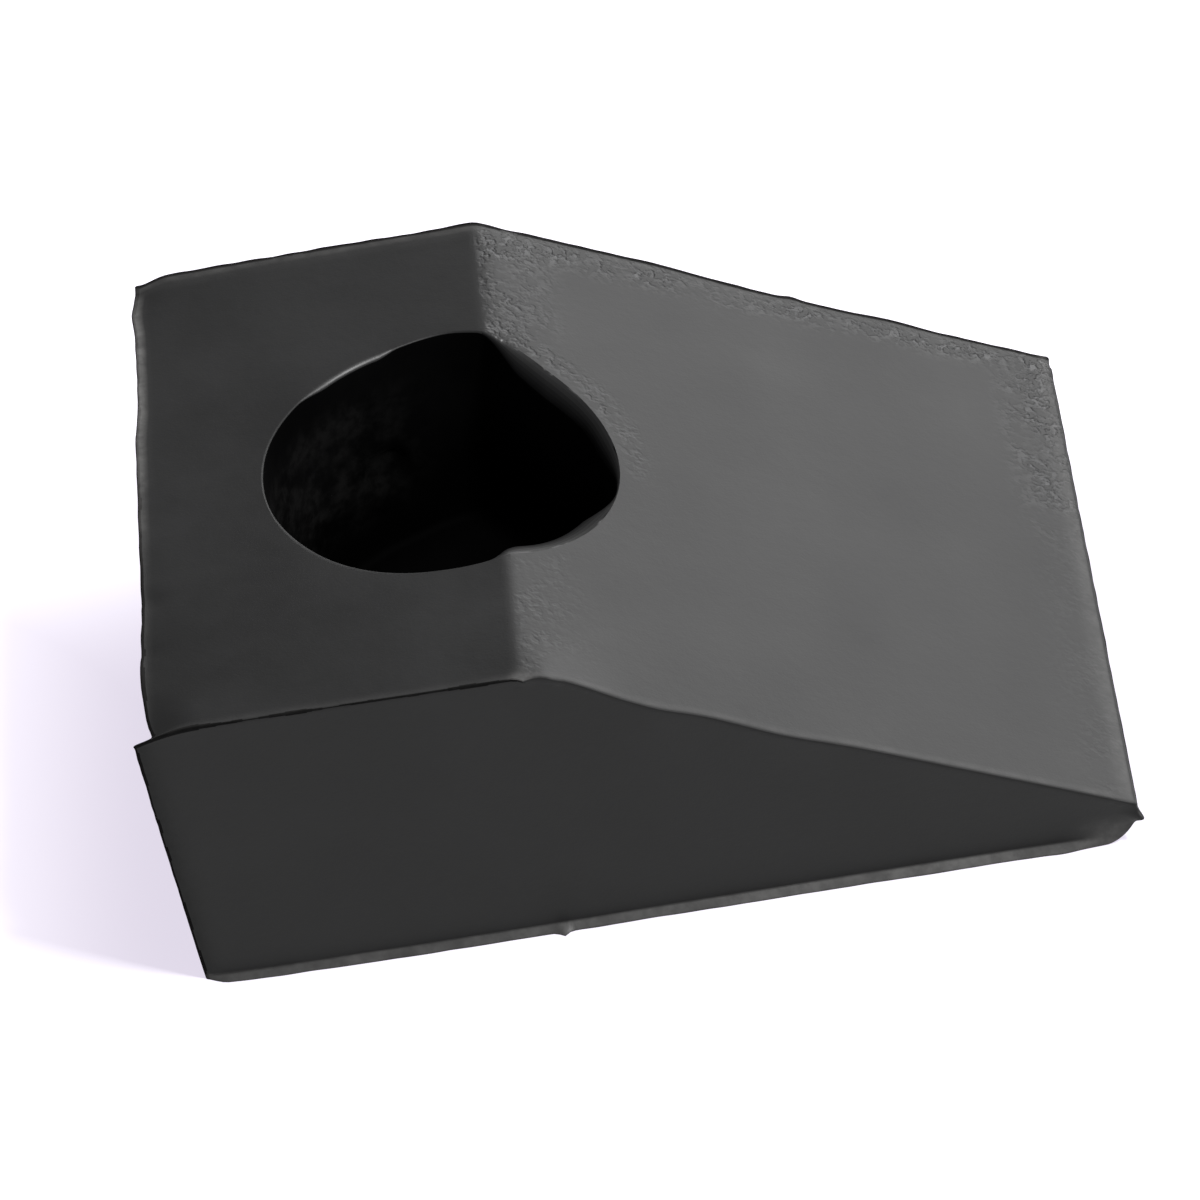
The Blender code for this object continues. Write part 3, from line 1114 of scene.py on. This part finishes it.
# Shades of the rubber, as shares of its colour
DARK_SHADE = 0.72
LIGHT_SHADE = 1.35
SPOT_SHADE = 5.0
FLASH_PAINTED_SHADE = 0.35
PAINTED_RECESS_SHADE_SHARE = 0.95
PAINTED_SHADE_BLACK = (0.0, 0.0, 0.0)

# What each layer adds to the roughness and to the height
SMUDGE_ROUGHNESS = 0.16
SPOT_ROUGHNESS = -0.12
FLASH_ROUGHNESS = 0.22
GRAIN_HEIGHT = 0.010 * MM
BLOTCH_HEIGHT = 0.020 * MM
SPOT_HEIGHT = -0.150 * MM

RAGGEDNESS = 0.45
RUBBER_COLOUR = (0.0065, 0.0065, 0.0068)
# the recess's rubber, coloured darker as painted shade
RECESS_PAINTED_SHADE_COLOUR = (0.0019, 0.0019, 0.0020)
# a touch darker than the outside, part of the painted shade along the parting line
FLASH_COLOUR = (0.0060, 0.0058, 0.0058)
# lighter grey: painted light on the recess wall, painted reflection on the foot, and the strips along the
# top's edges
LIGHTENED_GREY = (0.105, 0.103, 0.101)


def shade(colour, share):
    return tuple(channel * share for channel in colour)


def add_noise(tree, place, size, detail):
    """Noise between 0 and 1 whose grains are about the given size."""
    inputs = {"Vector": place, "Scale": 1.0 / size, "Detail": detail, "Roughness": NOISE_ROUGHNESS}
    return add_node(tree, "ShaderNodeTexNoise", inputs).outputs[0]


def add_range(tree, value, given, wanted=(0.0, 1.0), kind="LINEAR"):
    """Stretches a range of values to another one, and holds what lies beyond it."""
    inputs = {"Value": value, "From Min": given[0], "From Max": given[1]}
    inputs.update({"To Min": wanted[0], "To Max": wanted[1]})
    return add_node(tree, "ShaderNodeMapRange", inputs, interpolation_type=kind).outputs[0]


def add_maths(tree, operation, *values):
    return add_node(tree, "ShaderNodeMath", dict(enumerate(values)), operation=operation).outputs[0]


def add_colour_mix(tree, share, first, second):
    """A mix of two colours, each a socket or a plain colour."""
    inputs = {0: share}
    for index, colour in zip(MIX_COLOUR_INPUTS, (first, second)):
        inputs[index] = colour if isinstance(colour, bpy.types.NodeSocket) else (*colour, 1.0)
    return add_node(tree, "ShaderNodeMix", inputs, data_type="RGBA").outputs[MIX_COLOUR_OUTPUT]


def add_shader(tree, colour, roughness, height, **others):
    """The shader, with a bumped surface, and the material's output."""
    bump = add_node(tree, "ShaderNodeBump", {"Height": height, "Strength": 1.0, "Distance": 1.0})
    inputs = {"Base Color": colour, "Roughness": roughness, "Normal": bump.outputs[0], **others}
    shader = add_node(tree, "ShaderNodeBsdfPrincipled", inputs)
    add_node(tree, "ShaderNodeOutputMaterial", {"Surface": shader.outputs[0]})


def make_rubber_material(name, colour, roughness, specular, raggedness=RAGGEDNESS):
    """Moulded black rubber: satin, with slow smudges, a fine grain, pitted patches and dull ragged flash;
    painted shade darkens the flash strips and the depths of the recess, and lighter grey paints light and
    reflection on the recess wall and the foot and lightens strips along the top's edges.
    """
    material = bpy.data.materials.new(name)
    tree = new_nodes(material)
    place = add_node(tree, "ShaderNodeTexCoord").outputs["Object"]
    masks = {}
    for mask in MASKS:
        masks[mask] = add_node(tree, "ShaderNodeAttribute", attribute_name=mask).outputs["Fac"]
    smudge = add_noise(tree, place, *SMUDGES)
    blotch = add_noise(tree, place, *BLOTCHES)
    grain = add_noise(tree, place, *GRAIN)
    pits = add_range(tree, add_noise(tree, place, *PITS), PIT_RANGE)
    patches = add_range(tree, add_noise(tree, place, *PIT_PATCHES), PATCH_RANGE, PATCH_SHARES)
    spots = add_maths(tree, "MULTIPLY", add_maths(tree, "MULTIPLY", pits, patches), masks["pitted"])
    dark = shade(colour, DARK_SHADE)
    light = shade(colour, LIGHT_SHADE)
    finish = add_colour_mix(tree, add_range(tree, smudge, EVEN_RANGE), dark, light)
    finish = add_colour_mix(tree, spots, finish, shade(colour, SPOT_SHADE))
    # painted shade: the recess darkens towards black with depth
    finish = add_colour_mix(tree, add_maths(tree, "MULTIPLY", masks["painted_recess_shade"], PAINTED_RECESS_SHADE_SHARE), finish, PAINTED_SHADE_BLACK)
    # painted shade: worn holds the uneven darkening of the flash strips
    worn = add_maths(tree, "MULTIPLY", masks["flash"], add_range(tree, blotch, FLASH_SHADE_RANGE, FLASH_SHADE_SHARES))
    finish = add_colour_mix(tree, worn, finish, shade(colour, FLASH_PAINTED_SHADE))
    streak = add_range(tree, add_noise(tree, place, *STREAKS), STREAK_RANGE, (1.0 - raggedness, 1.0))
    mottle_shares = (1.0 - MOTTLE_DARK * raggedness, 1.0 + MOTTLE_LIGHT * raggedness)
    streak = add_maths(tree, "MULTIPLY", streak, add_range(tree, blotch, MOTTLE_RANGE, mottle_shares))
    # lighter grey, mottled: painted light and reflection, and the top's edge strips
    finish = add_colour_mix(tree, add_maths(tree, "MULTIPLY", masks["lightened"], streak), finish, LIGHTENED_GREY)
    rough = add_maths(tree, "MULTIPLY_ADD", smudge, SMUDGE_ROUGHNESS, roughness - SMUDGE_ROUGHNESS / 2)
    rough = add_maths(tree, "MULTIPLY_ADD", spots, SPOT_ROUGHNESS, rough)
    rough = add_maths(tree, "MULTIPLY_ADD", masks["flash"], FLASH_ROUGHNESS, rough)
    height = add_maths(tree, "MULTIPLY", grain, GRAIN_HEIGHT)
    height = add_maths(tree, "MULTIPLY_ADD", blotch, BLOTCH_HEIGHT, height)
    height = add_maths(tree, "MULTIPLY_ADD", spots, SPOT_HEIGHT, height)
    add_shader(tree, finish, rough, height, **{"Specular IOR Level": specular})
    return material


# Roughness and specular level of each kind of rubber
OUTSIDE_FINISH = (0.50, 0.5)
RIM_TOP_FINISH = (0.42, 0.5)
# the flash's low specular level paints a shaded line along the parting line
FLASH_FINISH = (0.72, 0.12)
# the recess's low specular level paints its shade too
RECESS_FINISH = (0.80, 0.02)
RECESS_RAGGEDNESS = 0.9


def make_rubber():
    return make_rubber_material("moulded_rubber", RUBBER_COLOUR, *OUTSIDE_FINISH)


def make_rim_rubbers():
    """The rim's finishes, going down, whose falling specular level paints shade into the rim, and last the
    one of its top, a little glossier than the outside.
    """
    finishes = []
    for step, (specular, roughness) in enumerate(RIM_PAINTED_SHADES):
        finishes.append(make_rubber_material(f"rim_rubber_{step}", RUBBER_COLOUR, roughness, specular))
    finishes.append(make_rubber_material("rim_rubber_top", RUBBER_COLOUR, *RIM_TOP_FINISH))
    return finishes


def make_flash_rubber():
    return make_rubber_material("flash_rubber", FLASH_COLOUR, *FLASH_FINISH)


def make_recess_rubber():
    return make_rubber_material("recess_rubber_painted_shade", RECESS_PAINTED_SHADE_COLOUR, *RECESS_FINISH, RECESS_RAGGEDNESS)


STEEL_RINGS = 4.0 * MM
STEEL_RING_WARP = {"Distortion": 0.6, "Detail": 3.0, "Detail Scale": 2.0}
STEEL_STAINS = (2.4 * MM, 4.0)  # grain size, detail
STEEL_GRIT = (0.25 * MM, 2.0)
STEEL_DARK_SHADE = 0.55
STAIN_ROUGHNESS = 0.24
GRIT_HEIGHT = 0.006 * MM
STEEL_FINISHES = {  # name, colour, roughness and depth of the rings of each insert
    "seat_washer": ("blackened_turned_steel", (0.055, 0.055, 0.060), 0.42, 0.010 * MM),
    "spacer_bush": ("plain_turned_steel", (0.42, 0.42, 0.43), 0.34, 0.006 * MM),
}


def make_turned_steel(name, colour, roughness, ring_depth):
    """Turned steel: fine rings round the screw axis, with darker stains."""
    material = bpy.data.materials.new(name)
    tree = new_nodes(material)
    place = add_node(tree, "ShaderNodeTexCoord").outputs["Object"]
    centring = {0: place, 1: (RECESS_X, 0.0, 0.0)}
    centred = add_node(tree, "ShaderNodeVectorMath", centring, operation="SUBTRACT").outputs[0]
    rings = add_node(
        tree,
        "ShaderNodeTexWave",
        {"Vector": centred, "Scale": 1.0 / STEEL_RINGS, **STEEL_RING_WARP},
        wave_type="RINGS",
        rings_direction="Z",
    ).outputs["Fac"]
    stain = add_noise(tree, place, *STEEL_STAINS)
    grit = add_noise(tree, place, *STEEL_GRIT)
    dark = shade(colour, STEEL_DARK_SHADE)
    light = shade(colour, LIGHT_SHADE)
    finish = add_colour_mix(tree, add_range(tree, stain, EVEN_RANGE), dark, light)
    rough = add_maths(tree, "MULTIPLY_ADD", stain, STAIN_ROUGHNESS, roughness - STAIN_ROUGHNESS / 2)
    height = add_maths(tree, "MULTIPLY", rings, ring_depth)
    height = add_maths(tree, "MULTIPLY_ADD", grit, GRIT_HEIGHT, height)
    add_shader(tree, finish, rough, height, Metallic=1.0)
    return material


def finish_inserts():
    """The two steel inserts keep their frame shapes and get their own materials."""
    for node, finish in STEEL_FINISHES.items():
        material = make_turned_steel(*finish)
        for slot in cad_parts[node].material_slots:
            slot.material = material


add_camera()
add_floor()
add_world()
add_area_light("key", KEY_DIRECTION, KEY_DISTANCE, KEY_SIZE, KEY_SIZE, KEY_RADIANCE)
add_area_light("panel", PANEL_DIRECTION, PANEL_DISTANCE, PANEL_WIDTH, PANEL_HEIGHT, PANEL_RADIANCE)
bpy.context.scene.view_settings.view_transform = "Standard"
add_block()
finish_inserts()
